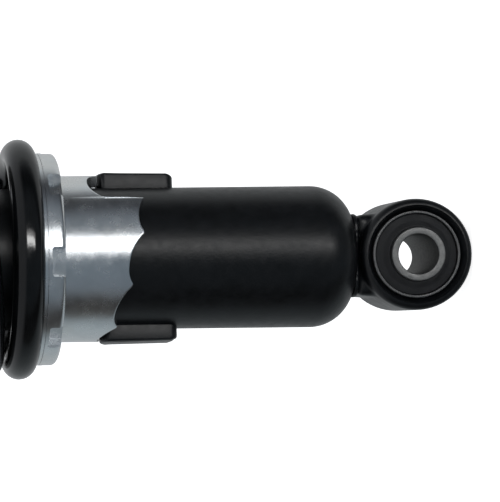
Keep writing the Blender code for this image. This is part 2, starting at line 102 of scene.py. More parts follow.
SLIP_RING_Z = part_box("spring_slip_ring")
WIRE_RADIUS = 4 * MM
COIL_RADIUS = 26.6 * MM
SPRING_BOTTOM_Z = SLIP_RING_Z[1].z + 0.15 * MM
SPRING_TOP_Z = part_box("coil_spring")[1].z
COIL_TURNS = 9.25
COIL_START = radians(100)
COIL_RISE = SPRING_TOP_Z - SPRING_BOTTOM_Z - 2 * WIRE_RADIUS
DEAD_TURNS = 0.78
CLIMB_TURNS = 0.22
CLIMB_HEIGHT = 8.5 * MM
OPEN_START_TURNS = 1.2
OPEN_EASE_TURNS = 0.35
OPEN_TURNS_HALF = COIL_TURNS / 2 - OPEN_START_TURNS - OPEN_EASE_TURNS / 2
OPEN_PITCH = (COIL_RISE / 2 - CLIMB_HEIGHT) / OPEN_TURNS_HALF
SPRING_SPLIT_TURNS = 3.0

ROD_RADIUS = 6 * MM
UP = Vector((0, 0, 1))


# ---------------------------------------------------------------- material helpers
class Nodes:
    """A material's node tree, with short calls for the nodes that the finishes share."""

    def __init__(self, name):
        self.material = bpy.data.materials.new(name)
        self.material.use_nodes = True
        self.tree = self.material.node_tree
        self.shader = self.tree.nodes["Principled BSDF"]
        self.place = self.add("ShaderNodeTexCoord").outputs["Object"]

    def add(self, kind, **settings):
        node = self.tree.nodes.new(kind)
        for name, value in settings.items():
            setattr(node, name, value)
        return node

    def link(self, source, socket):
        self.tree.links.new(source, socket)

    def set(self, name, value):
        socket = self.shader.inputs[name]
        if isinstance(value, bpy.types.NodeSocket):
            self.link(value, socket)
        elif isinstance(value, tuple):
            socket.default_value = (*value, 1)
        else:
            socket.default_value = value

    def math(self, operation, first, second=0.0):
        node = self.add("ShaderNodeMath", operation=operation)
        for socket, value in zip(node.inputs, (first, second)):
            if isinstance(value, bpy.types.NodeSocket):
                self.link(value, socket)
            else:
                socket.default_value = value
        return node.outputs[0]

    def polar(self, radius):
        """(distance round the axis, height, radius) of each point, in metres."""
        parts = self.add("ShaderNodeSeparateXYZ")
        self.link(self.place, parts.inputs[0])
        x, y, z = parts.outputs
        turn = self.math("ARCTAN2", y, x)
        made = self.add("ShaderNodeCombineXYZ")
        self.link(self.math("MULTIPLY", turn, radius), made.inputs[0])
        self.link(z, made.inputs[1])
        squares = self.math("ADD", self.math("MULTIPLY", x, x), self.math("MULTIPLY", y, y))
        self.link(self.math("SQRT", squares), made.inputs[2])
        return made.outputs[0]

    def noise(self, scale, stretch=(1, 1, 1), detail=3, roughness=0.5, place=None):
        """Noise with the given number of cells per metre, stretched per axis."""
        mapping = self.add("ShaderNodeMapping")
        mapping.inputs["Scale"].default_value = [scale * s for s in stretch]
        self.link(place or self.place, mapping.inputs["Vector"])
        noise = self.add("ShaderNodeTexNoise")
        noise.inputs["Scale"].default_value = 1.0
        noise.inputs["Detail"].default_value = detail
        noise.inputs["Roughness"].default_value = roughness
        self.link(mapping.outputs[0], noise.inputs["Vector"])
        return noise.outputs["Fac"]

    def ramp(self, value, stops):
        """A colour or grey ramp; stops are (position, colour)."""
        ramp = self.add("ShaderNodeValToRGB")
        elements = ramp.color_ramp.elements
        while len(elements) < len(stops):
            elements.new(0.5)
        for element, (position, colour) in zip(elements, stops):
            element.position = position
            grey = isinstance(colour, (int, float))
            element.color = (colour, colour, colour, 1) if grey else (*colour, 1)
        self.link(value, ramp.inputs["Fac"])
        return ramp.outputs["Color"]

    def mix(self, share, first, second):
        """A blend of two colours, or of a colour and the outcome of another node."""
        node = self.add("ShaderNodeMix", data_type="RGBA")
        sockets = (node.inputs[0], node.inputs[6], node.inputs[7])
        for socket, value in zip(sockets, (share, first, second)):
            if isinstance(value, bpy.types.NodeSocket):
                self.link(value, socket)
            elif isinstance(value, tuple):
                socket.default_value = (*value, 1)
            else:
                socket.default_value = value
        return node.outputs[2]

    def bump(self, height, distance, strength=1.0):
        node = self.add("ShaderNodeBump")
        node.inputs["Distance"].default_value = distance
        node.inputs["Strength"].default_value = strength
        self.link(height, node.inputs["Height"])
        self.set("Normal", node.outputs[0])


def black_coat():
    """Satin black powder coat: mottled, with fine orange peel."""
    n = Nodes("satin_black_coat")
    mottle = n.noise(260, detail=5)
    tones = [(0.3, (0.0012, 0.0016, 0.0021)), (0.75, (0.0034, 0.0042, 0.0054))]
    n.set("Base Color", n.ramp(mottle, tones))
    n.set("Roughness", n.ramp(n.noise(520, detail=4), [(0.3, 0.3), (0.7, 0.4)]))
    n.set("Specular IOR Level", 0.34)
    n.bump(n.noise(1600, detail=2), 0.00004, 0.5)
    return n.material


def gloss_black():
    """Gloss black spring coating with a slight flow texture."""
    n = Nodes("gloss_black_coat")
    tones = [(0.3, (0.001, 0.0012, 0.0014)), (0.8, (0.003, 0.0034, 0.0038))]
    n.set("Base Color", n.ramp(n.noise(180, detail=4), tones))
    n.set("Roughness", n.ramp(n.noise(900, detail=3), [(0.35, 0.1), (0.75, 0.18)]))
    n.set("Specular IOR Level", 0.32)
    n.bump(n.noise(420, detail=3), 0.00008, 0.35)
    return n.material


def zinc_plate():
    """Bright zinc plate over turned steel: tool lines, blue and brown tints, cloudy sheen."""
    n = Nodes("zinc_plate")
    round_it = n.polar(CAM_RADIUS)
    lines = n.noise(60, (1, 140, 2), detail=4, roughness=0.6, place=round_it)
    cloud = n.noise(230, detail=5, roughness=0.6)
    tint = n.ramp(
        n.noise(55, detail=3),
        [(0.3, (0.6, 0.64, 0.68)), (0.55, (0.7, 0.735, 0.76)), (0.75, (0.7, 0.69, 0.66))],
    )
    shaded = n.mix(0.35, tint, n.ramp(cloud, [(0.3, 0.55), (0.7, 0.82)]))
    n.set("Base Color", shaded)
    n.set("Metallic", 1.0)
    n.set("Roughness", n.ramp(cloud, [(0.3, 0.2), (0.7, 0.3)]))
    n.bump(lines, 0.00002, 0.35)
    return n.material


def plain_zinc():
    """Zinc plate for flat or hexagonal pieces."""
    n = Nodes("zinc_plate_plain")
    cloud = n.noise(400, detail=5, roughness=0.6)
    n.set("Base Color", n.ramp(cloud, [(0.3, (0.55, 0.58, 0.61)), (0.7, (0.72, 0.74, 0.75))]))
    n.set("Metallic", 1.0)
    n.set("Roughness", n.ramp(cloud, [(0.3, 0.22), (0.7, 0.36)]))
    n.bump(n.noise(1500, detail=3), 0.00002, 0.4)
    return n.material


def cut_steel():
    """Dull cut end of a steel tube: fine scratches and a little grey oxide."""
    n = Nodes("cut_steel")
    grain = n.noise(900, (1, 0.15, 1), detail=5, roughness=0.7)
    n.set("Base Color", n.ramp(grain, [(0.25, (0.13, 0.13, 0.128)), (0.75, (0.22, 0.22, 0.215))]))
    n.set("Metallic", 0.85)
    n.set("Roughness", n.ramp(n.noise(500, detail=4), [(0.3, 0.38), (0.7, 0.55)]))
    n.bump(grain, 0.00002, 0.5)
    return n.material


def chrome_rod():
    """Ground and chromed rod, with a very fine grind round it."""
    n = Nodes("chromed_rod")
    lines = n.noise(400, (0.2, 12, 1), detail=3, place=n.polar(ROD_RADIUS))
    n.set("Base Color", n.ramp(n.noise(120), [(0.3, (0.7, 0.72, 0.74)), (0.7, (0.78, 0.79, 0.8))]))
    n.set("Metallic", 1.0)
    n.set("Roughness", n.ramp(lines, [(0.3, 0.06), (0.7, 0.13)]))
    n.bump(lines, 0.000003, 0.5)
    return n.material


def moulded_rubber():
    """Matte moulded rubber with fine grain and a dusty bloom."""
    n = Nodes("moulded_rubber")
    bloom = n.noise(300, detail=5)
    tones = [(0.3, (0.007, 0.0073, 0.0082)), (0.75, (0.014, 0.0146, 0.016))]
    n.set("Base Color", n.ramp(bloom, tones))
    n.set("Roughness", n.ramp(bloom, [(0.3, 0.55), (0.7, 0.75)]))
    n.set("Specular IOR Level", 0.35)
    n.bump(n.noise(2600, detail=3), 0.00004, 0.6)
    return n.material


def hidden_metal(name, low, high, roughness):
    """Machined finish, for pieces inside the tube and for the bushes' shells and bores; in the
    bores its darker colours are painted shade.
    """
    n = Nodes(name)
    grain = n.noise(700, (1, 1, 6), detail=4)
    n.set("Base Color", n.ramp(grain, [(0.3, low), (0.7, high)]))
    n.set("Metallic", 1.0)
    n.set("Roughness", roughness)
    n.bump(grain, 0.00001, 0.4)
    return n.material


# ---------------------------------------------------------------- shape helpers
COARSE_ARC = radians(18)
FINE_ARC = radians(4)
FINE_ARC_FROM = 3 * MM


def filleted(points, closed=True):
    """A profile of (radius, height[, fillet]) points with its corners rounded by arcs."""
    made = []
    count = len(points)
    for i, point in enumerate(points):
        here = Vector(point[:2])
        fillet = point[2] if len(point) > 2 else 0
        if not fillet or (not closed and i in (0, count - 1)):
            made.append(here)
            continue
        back = (Vector(points[i - 1][:2]) - here).normalized()
        on = (Vector(points[(i + 1) % count][:2]) - here).normalized()
        half = back.angle(on) / 2
        reach = fillet * cos(half) / sin(half)
        centre = here + (back + on).normalized() * (fillet / sin(half))
        start = here + back * reach - centre
        end = here + on * reach - centre
        turn = start.angle_signed(end)
        steps = max(2, ceil(abs(turn) / (COARSE_ARC if fillet < FINE_ARC_FROM else FINE_ARC)))
        for k in range(steps + 1):
            made.append(centre + Matrix.Rotation(-turn * k / steps, 2) @ start)
    return made


def to_mesh(name, model):
    bmesh.ops.recalc_face_normals(model, faces=model.faces)
    mesh = bpy.data.meshes.new(name)
    model.to_mesh(mesh)
    model.free()
    return mesh


def finish_piece(obj, body, finish, slot, *nodes, sharp=38):
    """Smooth shading, material, CAD body and the CAD nodes the piece stands for."""
    if obj.name not in bpy.context.scene.collection.objects:
        bpy.context.scene.collection.objects.link(obj)
    obj.data.shade_smooth()
    obj.data.set_sharp_from_angle(angle=radians(sharp))
    obj.data.materials.clear()
    obj.data.materials.append(finish)
    if body:
        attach(obj, body)
    if nodes:
        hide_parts(*nodes)
    return obj


def lathe(name, points, steps=144, closed=True):
    """A turned object about Z, from a profile of (radius, height[, fillet]) points."""
    outline = filleted(points, closed)
    model = bmesh.new()
    verts = [model.verts.new((p.x, 0, p.y)) for p in outline]
    edges = [model.edges.new((a, b)) for a, b in zip(verts, verts[1:])]
    if closed:
        edges.append(model.edges.new((verts[-1], verts[0])))
    bmesh.ops.spin(
        model,
        geom=verts + edges,
        axis=(0, 0, 1),
        cent=(0, 0, 0),
        angle=tau,
        steps=steps,
        use_merge=True,
    )
    bmesh.ops.remove_doubles(model, verts=model.verts, dist=1e-7)
    return bpy.data.objects.new(name, to_mesh(name, model))


def along_y(obj, height):
    """Turns a lathed object so that its axis is Y, at a height."""
    obj.data.transform(Matrix.Translation((0, 0, height)) @ Matrix.Rotation(-pi / 2, 4, "X"))
    return obj


def applied(obj):
    """The object with its modifiers applied."""
    scene = bpy.context.scene.collection
    if obj.name not in scene.objects:
        scene.objects.link(obj)
    graph = bpy.context.evaluated_depsgraph_get()
    graph.update()
    mesh = bpy.data.meshes.new_from_object(obj.evaluated_get(graph))
    obj.modifiers.clear()
    obj.data = mesh
    return obj


def with_boolean(obj, other, operation):
    """Joins or cuts, applies, and removes the other object."""
    for each in (obj, other):
        if each.name not in bpy.context.scene.collection.objects:
            bpy.context.scene.collection.objects.link(each)
    modifier = obj.modifiers.new("boolean", "BOOLEAN")
    modifier.operation = operation
    modifier.object = other
    modifier.solver = "EXACT"
    applied(obj)
    bpy.data.objects.remove(other, do_unlink=True)
    return obj


def add_bevel(obj, width, segments, above):
    """Rounds the edges whose angle is more than a number of degrees."""
    bevel = obj.modifiers.new("bevel", "BEVEL")
    bevel.width = width
    bevel.segments = segments
    bevel.limit_method = "ANGLE"
    bevel.angle_limit = radians(above)
    return applied(obj)


def prism(name, outline, low, high, axis="Y"):
    """A flat outline of (a, b) points, pushed out from low to high along an axis."""
    model = bmesh.new()
    put = {"Y": lambda a, b, c: (a, c, b), "X": lambda a, b, c: (c, a, b)}[axis]
    face = model.faces.new([model.verts.new(put(a, b, low)) for a, b in outline])
    grown = bmesh.ops.extrude_face_region(model, geom=[face])
    shift = Vector(put(0, 0, high - low))
    far = [g for g in grown["geom"] if isinstance(g, bmesh.types.BMVert)]
    bmesh.ops.translate(model, verts=far, vec=shift)
    return bpy.data.objects.new(name, to_mesh(name, model))


def softened(obj, voxel, passes):
    """Melts a joined shape together, as a forging is: voxel remesh, then smoothing."""
    remesh = obj.modifiers.new("remesh", "REMESH")
    remesh.mode = "VOXEL"
    remesh.voxel_size = voxel
    remesh.use_smooth_shade = True
    smooth = obj.modifiers.new("smooth", "SMOOTH")
    smooth.factor = 0.5
    smooth.iterations = passes
    return applied(obj)


# ---------------------------------------------------------------- eyes and bushes
def eye_outline(side, height):
    """Side view of the neck: a flat-sided block from the ring's middle to the boss."""
    half = [(10.5, 0), (10.5, 10), (10.3, 12.5), (10.3, 14.5)]
    right = [(x * MM, height + side * z * MM) for x, z in half]
    return right + [(-x, z) for x, z in reversed(right)]


def eye(name, height, side, body, shank=None):
    """A forged eye with its neck upwards (side 1) or downwards (side -1)."""
    round_over = 1.7 * MM
    blank_bore = 8 * MM
    ring = lathe(name, [
        (EYE_RADIUS, EYE_HALF_LENGTH, round_over),
        (EYE_RADIUS, -EYE_HALF_LENGTH, round_over),
        (blank_bore, -EYE_HALF_LENGTH),
        (blank_bore, EYE_HALF_LENGTH),
    ], steps=160)
    along_y(ring, height)
    depth = 8.3 * MM
    neck = prism(name + "_neck", eye_outline(side, height), -depth, depth)
    add_bevel(neck, 2.2 * MM, 4, above=50)
    made = with_boolean(ring, neck, "UNION")
    if shank:
        radius, low, high = shank
        profile = [(0, high), (radius, high), (radius, low, 0.8 * MM), (0, low)]
        post = lathe(name + "_shank", profile, steps=96, closed=False)
        made = with_boolean(made, post, "UNION")
    softened(made, 0.42 * MM, 5)
    chamfer = 1.3 * MM
    bore = BUSH_RADIUS + 0.1 * MM
    reach = 3 * MM
    cutter = lathe(name + "_bore", [
        (0, EYE_HALF_LENGTH + reach),
        (bore + chamfer + reach * 0.9, EYE_HALF_LENGTH + reach),
        (bore + chamfer, EYE_HALF_LENGTH),
        (bore, EYE_HALF_LENGTH - chamfer * 1.3, 0.4 * MM),
        (bore, chamfer * 1.3 - EYE_HALF_LENGTH, 0.4 * MM),
        (bore + chamfer, -EYE_HALF_LENGTH),
        (bore + chamfer + reach * 0.9, -EYE_HALF_LENGTH - reach),
        (0, -EYE_HALF_LENGTH - reach),
    ], steps=160, closed=False)
    made = with_boolean(made, along_y(cutter, height), "DIFFERENCE")
    finish_piece(made, body, COAT, "body_black", name, sharp=30)
    return made


def bush(prefix, height, body, sleeve_body):
    shell_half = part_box(prefix + "_bush_shell")[1].y
    inner = 10.25 * MM
    shell = lathe(prefix + "_shell", [
        (BUSH_RADIUS, shell_half, 0.25 * MM),
        (BUSH_RADIUS, -shell_half, 0.25 * MM),
        (inner, -shell_half, 0.2 * MM),
        (inner, shell_half, 0.2 * MM),
    ])
    finish_piece(along_y(shell, height), body, SHELL_STEEL, "steel", prefix + "_bush_shell")
    lip = RUBBER_HALF_LENGTH
    dish = 1.1 * MM
    mouth = SLEEVE_RADIUS + 0.05 * MM
    half_profile = [
        (inner - 0.05 * MM, lip - dish - 0.6 * MM),
        (inner - 0.05 * MM, lip - dish, 0.3 * MM),
        (mouth + 1.6 * MM, lip - dish * 0.7, 1.5 * MM),
        (mouth + 0.5 * MM, lip, 0.4 * MM),
        (mouth, lip, 0.15 * MM),
    ]
    mirrored = [(point[0], -point[1], *point[2:]) for point in half_profile]
    rubber = lathe(prefix + "_rubber", [*reversed(half_profile), *mirrored])
    finish_piece(along_y(rubber, height), body, RUBBER, "rubber", prefix + "_bush_rubber", sharp=60)
    sleeve = lathe(prefix + "_sleeve", [
        (SLEEVE_RADIUS, SLEEVE_HALF_LENGTH, 0.25 * MM),
        (SLEEVE_RADIUS, -SLEEVE_HALF_LENGTH, 0.25 * MM),
        (BOLT_RADIUS, -SLEEVE_HALF_LENGTH, 0.35 * MM),
        (BOLT_RADIUS, SLEEVE_HALF_LENGTH, 0.35 * MM),
    ])
    along_y(sleeve, height)
    finish_piece(sleeve, sleeve_body, CUT_STEEL, "sleeve_steel", prefix + "_bush_sleeve")
    # The bore's faces take the darker steel, which paints the shade inside the bore.
    sleeve.data.materials.append(BORE_STEEL_PAINTED_SHADE)
    for face in sleeve.data.polygons:
        in_bore = hypot(face.center.x, face.center.z - height) < BOLT_RADIUS + 0.05 * MM
        face.material_index = int(in_bore)


def weld_bead(name, path, radius, body):
    """A rippled bead round a closed path of points."""
    model = bmesh.new()
    around = 14
    count = len(path)
    rows = []
    for i, point in enumerate(path):
        ahead = (path[(i + 1) % count] - path[i - 1]).normalized()
        side = ahead.cross(UP).normalized()
        size = radius * (1 + 0.04 * cos(tau * i / 5))
        row = []
        for k in range(around):
            turn = tau * k / around
            row.append(model.verts.new(point + size * (side * cos(turn) + UP * sin(turn))))
        rows.append(row)
    for i, row in enumerate(rows):
        onward = rows[(i + 1) % count]
        for k in range(around):
            near = (k + 1) % around
            model.faces.new((row[k], onward[k], onward[near], row[near]))
    bead = bpy.data.objects.new(name, to_mesh(name, model))
    return finish_piece(bead, body, COAT, "body_black", sharp=80)


def rounded_rectangle(half_x, half_y, corner, height, step):
    """Evenly spaced points round a rounded rectangle, flat at a height."""
    points = []
    for sign_x, sign_y, start in ((1, 1, 0), (-1, 1, 90), (-1, -1, 180), (1, -1, 270)):
        centre = Vector((sign_x * (half_x - corner), sign_y * (half_y - corner), height))
        for k in range(13):
            turn = radians(start + 90 * k / 12)
            points.append(centre + corner * Vector((cos(turn), sin(turn), 0)))
    even = []
    for i, point in enumerate(points):
        onward = points[(i + 1) % len(points)]
        parts = max(1, round((onward - point).length / step))
        even += [point.lerp(onward, k / parts) for k in range(parts)]
    return even


# ---------------------------------------------------------------- damper body
def reservoir_tube():
    tube = lathe("body_tube", [
        (0, BODY_BOTTOM_Z),
        (BODY_RADIUS, BODY_BOTTOM_Z, BODY_CORNER),
        (BODY_RADIUS, BODY_TOP_Z, 0.5 * MM),
        (BODY_RADIUS - BODY_WALL, BODY_TOP_Z, 0.3 * MM),
        (BODY_RADIUS - BODY_WALL, BODY_BOTTOM_Z + BODY_WALL, BODY_CORNER - BODY_WALL),
        (0, BODY_BOTTOM_Z + BODY_WALL),
    ], steps=192, closed=False)
    finish_piece(tube, "damper_body", COAT, "body_black", "reservoir_tube")


def cam_lug(name, azimuth):
    """A flat bar welded on the tube: arched nose under the collar, tapered toe."""
    nose_centre = LUG_TOP_Z - LUG_NOSE_GAP - LUG_NOSE_RADIUS
    nose = []
    for i in range(17):
        across = LUG_HALF_WIDTH * (1 - i / 8)
        nose.append((across, nose_centre + sqrt(LUG_NOSE_RADIUS**2 - across**2)))
    toe = []
    height = LUG_BOTTOM_Z + LUG_CORNER
    for side, start in ((-1, 180), (1, 270)):
        middle = side * (LUG_HALF_WIDTH - LUG_CORNER)
        for k in range(7):
            turn = radians(start + 90 * k / 6)
            toe.append((middle + LUG_CORNER * cos(turn), height + LUG_CORNER * sin(turn)))
    lug = prism(name + "_bar", nose + toe, LUG_ROOT_RADIUS, LUG_OUTER_RADIUS, axis="X")
    for vert in lug.data.vertices:
        if vert.co.x > LUG_ROOT_RADIUS + MM:
            share = max(0.0, 1 - (vert.co.z - LUG_BOTTOM_Z) / LUG_TOE_LENGTH)
            vert.co.x -= LUG_TOE_TAPER * share
    add_bevel(lug, 0.75 * MM, 4, above=50)
    lug.data.transform(Matrix.Rotation(azimuth, 4, "Z"))
    finish_piece(lug, "damper_body", COAT, "body_black", name)


def gland():
    """Gland nut in the tube's mouth, with its dust wiper."""
    low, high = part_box("gland_nut")
    seat = 9.3 * MM
    neck = BODY_RADIUS - BODY_WALL - 0.2 * MM
    rim = high.z - 3.2 * MM
    cap = lathe("gland_cap", [
        (BODY_RADIUS, high.z, 1 * MM),
        (BODY_RADIUS, rim, 0.3 * MM),
        (neck, rim),
        (neck, low.z),
        (7 * MM, low.z),
        (7 * MM, low.z + 3.5 * MM),
        (seat, low.z + 3.5 * MM),
        (seat, high.z, 0.4 * MM),
    ], steps=144)
    pins = 4
    pin_circle = 13.6 * MM
    for i in range(pins):
        turn = Matrix.Rotation(radians(45) + tau * i / pins, 4, "Z")
        hole = lathe(f"gland_pin_{i}", [
            (0, 2 * MM),
            (1.5 * MM, 2 * MM),
            (1.5 * MM, -2.2 * MM),
            (0, -3 * MM),
        ], steps=32, closed=False)
        hole.data.transform(turn @ Matrix.Translation((pin_circle, 0, high.z)))
        cap = with_boolean(cap, hole, "DIFFERENCE")
    finish_piece(cap, "damper_body", ZINC, "zinc_plate", "gland_nut")
    low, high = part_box("dust_wiper")
    wiper = lathe("wiper_lip", [
        (seat - 0.1 * MM, low.z + 4.6 * MM, 0.4 * MM),
        (seat - 0.1 * MM, low.z),
        (ROD_RADIUS + 0.8 * MM, low.z),
        (ROD_RADIUS + 0.06 * MM, high.z - 1.2 * MM, 0.2 * MM),
        (ROD_RADIUS + 0.7 * MM, high.z, 0.25 * MM),
        (ROD_RADIUS + 1.2 * MM, high.z - 0.9 * MM, 0.3 * MM),
    ], steps=96)
    finish_piece(wiper, "damper_body", RUBBER, "rubber", "dust_wiper")


# ---------------------------------------------------------------- collar
SEAT_Z = LUG_TOP_Z + 0.3 * MM
WALL_BACK = radians(52)
SEAT_LAG = radians(1.5)
CLIMB_SIDE_RADIUS = 6.3 * MM
END_SEAT_LAG = radians(0.5)
END_SEAT_RADIUS = 7.2 * MM
FALL_SIDE_RADIUS = 12.9 * MM
WALL_FOOT_Z = SEAT_Z - 3 * CAM_STEP - 2.6 * MM
WALL_EDGE_RADIUS = 0.8 * MM
NUDGE = 1e-5


def cam_edge(azimuth):
    """Height of the collar's edge: five hollows, each a step lower, then an upright wall."""
    along = (azimuth - LUG_AZIMUTHS["cam_lug_rear"] + WALL_BACK) % pi - WALL_BACK
    heights = [WALL_FOOT_Z]
    for seat in range(-1, 4):
        by_wall = seat < 0
        lag = END_SEAT_LAG if by_wall else SEAT_LAG
        climb_radius = END_SEAT_RADIUS if by_wall else CLIMB_SIDE_RADIUS
        across = (along - seat * CAM_PITCH - lag) * CAM_RADIUS
        radius = FALL_SIDE_RADIUS if across > 0 else climb_radius
        drop = radius - sqrt(max(0.0, radius**2 - across**2))
        if abs(across) < radius:
            heights.append(SEAT_Z - seat * CAM_STEP - drop)
    return max(heights)


def cam_edge_soft(azimuth):
    """The edge with its crests rounded by a short running mean; the walls stay steep."""
    reach = radians(1.6)
    taps = [cam_edge(azimuth + reach * (k / 4)) for k in range(-4, 5)]
    if max(taps) - min(taps) > 3 * MM:
        return cam_edge(azimuth)
    return sum(taps) / len(taps)


def wall_rounding(azimuth):
    """How far the sleeve's outside is drawn in beside an upright wall, to round the wall's edge."""
    gap = (LUG_AZIMUTHS["cam_lug_rear"] - WALL_BACK - azimuth) % pi * CAM_RADIUS
    if gap > WALL_EDGE_RADIUS:
        return 0.0
    return WALL_EDGE_RADIUS - sqrt(WALL_EDGE_RADIUS**2 - (WALL_EDGE_RADIUS - gap) ** 2)


def collar():
    """The preload collar, made column by column, so that its lower edge can follow the cam."""
    columns = 900
    upper = filleted([
        (CAM_BORE_RADIUS, FLANGE_TOP_Z, 0.5 * MM),
        (FLANGE_RADIUS, FLANGE_TOP_Z, 0.1 * MM),
        (FLANGE_RADIUS, FLANGE_REAR_Z, FLANGE_CORNER),
        (CAM_RADIUS, FLANGE_REAR_Z, 0.4 * MM),
        (CAM_RADIUS, FLANGE_REAR_Z - 1 * MM),
    ], closed=False)[1:]
    chamfer = 0.25 * MM
    model = bmesh.new()
    start = LUG_AZIMUTHS["cam_lug_rear"] - WALL_BACK
    blend = 0.5 * MM
    wall_top = cam_edge(start + NUDGE) - blend
    rows = []
    for i in range(columns):
        turn = start + tau * i / columns
        edge = cam_edge_soft(turn + NUDGE)
        outer = CAM_RADIUS - wall_rounding(turn + NUDGE)
        by_wall = outer < CAM_RADIUS
        lower = [
            Vector((CAM_RADIUS, wall_top + blend if by_wall else (edge + FLANGE_REAR_Z) / 2)),
            Vector((outer, wall_top if by_wall else edge + chamfer * 2)),
            Vector((outer, edge + chamfer)),
            Vector((outer - chamfer * 0.3, edge + chamfer * 0.3)),
            Vector((outer - chamfer, edge)),
            Vector((CAM_BORE_RADIUS + chamfer, edge)),
            Vector((CAM_BORE_RADIUS, edge + chamfer)),
            Vector((CAM_BORE_RADIUS, FLANGE_TOP_Z - 0.5 * MM)),
        ]
        section = upper + lower
        rows.append([model.verts.new((p.x * cos(turn), p.x * sin(turn), p.y)) for p in section])
    size = len(rows[0])
    for i, row in enumerate(rows):
        onward = rows[(i + 1) % columns]
        for k in range(size):
            near = (k + 1) % size
            model.faces.new((row[k], row[near], onward[near], onward[k]))
    made = bpy.data.objects.new("cam_collar", to_mesh("cam_collar", model))
    made = with_boolean(made, spanner_notches(), "DIFFERENCE")
    finish_piece(made, "preload_collar", ZINC_TURNED, "zinc_plate", "preload_cam_collar", sharp=32)


def spanner_notches():
    """Cutters for the notches in the rear of the flange's rim, as one object."""
    height = NOTCH_TOP_Z - FLANGE_REAR_Z + 2 * MM
    middle = NOTCH_TOP_Z - height / 2
    size = Matrix.Diagonal((NOTCH_DEPTH * 2, NOTCH_WIDTH, height, 1))
    model = bmesh.new()
    for i in range(NOTCH_COUNT):
        turn = Matrix.Rotation(NOTCH_FIRST_AZIMUTH + tau * i / NOTCH_COUNT, 4, "Z")
        place = Matrix.Translation((FLANGE_RADIUS, 0, middle))
        bmesh.ops.create_cube(model, size=1, matrix=turn @ place @ size)
    bmesh.ops.bevel(model, geom=model.edges[:], offset=0.3 * MM, segments=2, affect="EDGES")
    return bpy.data.objects.new("notches", to_mesh("notches", model))


def slip_ring():
    """The washer under the spring, thick enough to close the gaps on its two sides but a hair."""
    low, high = SLIP_RING_Z
    bottom = low.z - 0.12 * MM
    top = high.z + 0.24 * MM
    inner = 21.9 * MM
    ring = lathe("slip_ring", [
        (high.x, top, 0.1 * MM),
        (high.x, bottom, 0.06 * MM),
        (inner, bottom, 0.2 * MM),
        (inner, top, 0.2 * MM),
    ])
    finish_piece(ring, "slip_ring", ZINC_TURNED, "zinc_plate", "spring_slip_ring")


# ---------------------------------------------------------------- spring
def coil_rise(turns):
    """Rise of the wire's centre: a flat end coil, a climb over its tip, then open coils."""
    if turns > COIL_TURNS / 2:
        return COIL_RISE - coil_rise(COIL_TURNS - turns)
    climb = min(max((turns - DEAD_TURNS) / CLIMB_TURNS, 0), 1)
    height = CLIMB_HEIGHT * climb**2 * (3 - 2 * climb)
    opened = max(turns - OPEN_START_TURNS, 0)
    if opened < OPEN_EASE_TURNS:
        return height + OPEN_PITCH * opened**2 / (2 * OPEN_EASE_TURNS)
    return height + OPEN_PITCH * (opened - OPEN_EASE_TURNS / 2)


def coil_height(turns):
    return SPRING_BOTTOM_Z + WIRE_RADIUS + coil_rise(turns)


def coil_point(turns):
    turn = COIL_START + tau * turns
    return Vector((COIL_RADIUS * cos(turn), COIL_RADIUS * sin(turn), coil_height(turns)))


def coil_piece(name, first, last):
    """One length of the coil, a tube of rings along the wire's centre line."""
    rings_a_turn = 90
    around = 28
    count = round((last - first) * rings_a_turn)
    model = bmesh.new()
    rows = []

    def add_ring(turns, size, shift):
        here = coil_point(turns)
        ahead = (coil_point(turns + 0.001) - coil_point(turns - 0.001)).normalized()
        out = Vector((here.x, here.y, 0)).normalized()
        up = ahead.cross(out) * -1
        centre = here + ahead * shift
        row = []
        for k in range(around):
            turn = tau * k / around
            row.append(model.verts.new(centre + size * (out * cos(turn) + up * sin(turn))))
        rows.append(row)

    bevel = 0.4 * MM
    add_ring(first, WIRE_RADIUS - bevel if first == 0 else WIRE_RADIUS, 0)
    if first == 0:
        add_ring(first, WIRE_RADIUS, bevel)
    for i in range(1, count):
        add_ring(first + (last - first) * i / count, WIRE_RADIUS, 0)
    if last == COIL_TURNS:
        add_ring(last, WIRE_RADIUS, -bevel)
    add_ring(last, WIRE_RADIUS - bevel if last == COIL_TURNS else WIRE_RADIUS, 0)
    for row, onward in zip(rows, rows[1:]):
        for k in range(around):
            near = (k + 1) % around
            model.faces.new((row[k], row[near], onward[near], onward[k]))
    model.faces.new(rows[0])
    model.faces.new(list(reversed(rows[-1])))
    piece = bpy.data.objects.new(name, to_mesh(name, model))
    finish_piece(piece, None, GLOSS, "spring_black", "coil_spring", sharp=50)
    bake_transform(piece)


def spring():
    """Two lengths of coil that meet where the wire stands still with the body."""
    turns = SPRING_SPLIT_TURNS
    split = coil_height(turns)
    low = coil_height(OPEN_START_TURNS)
    high = coil_height(COIL_TURNS - OPEN_START_TURNS)
    coil_piece("coil_lower", 0, turns)
    coil_piece("coil_upper", turns, COIL_TURNS)


# ---------------------------------------------------------------- rod and upper end
def rod():
    low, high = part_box("piston_rod")
    shoulder = low.z + 19.5 * MM
    made = lathe("rod_shaft", [
        (0, high.z),
        (ROD_RADIUS, high.z, 0.8 * MM),
        (ROD_RADIUS, shoulder, 0.3 * MM),
        (4 * MM, shoulder),
        (4 * MM, low.z, 0.5 * MM),
        (0, low.z),
    ], steps=96, closed=False)
    finish_piece(made, "rod_group", CHROME, "chrome_rod", "piston_rod")


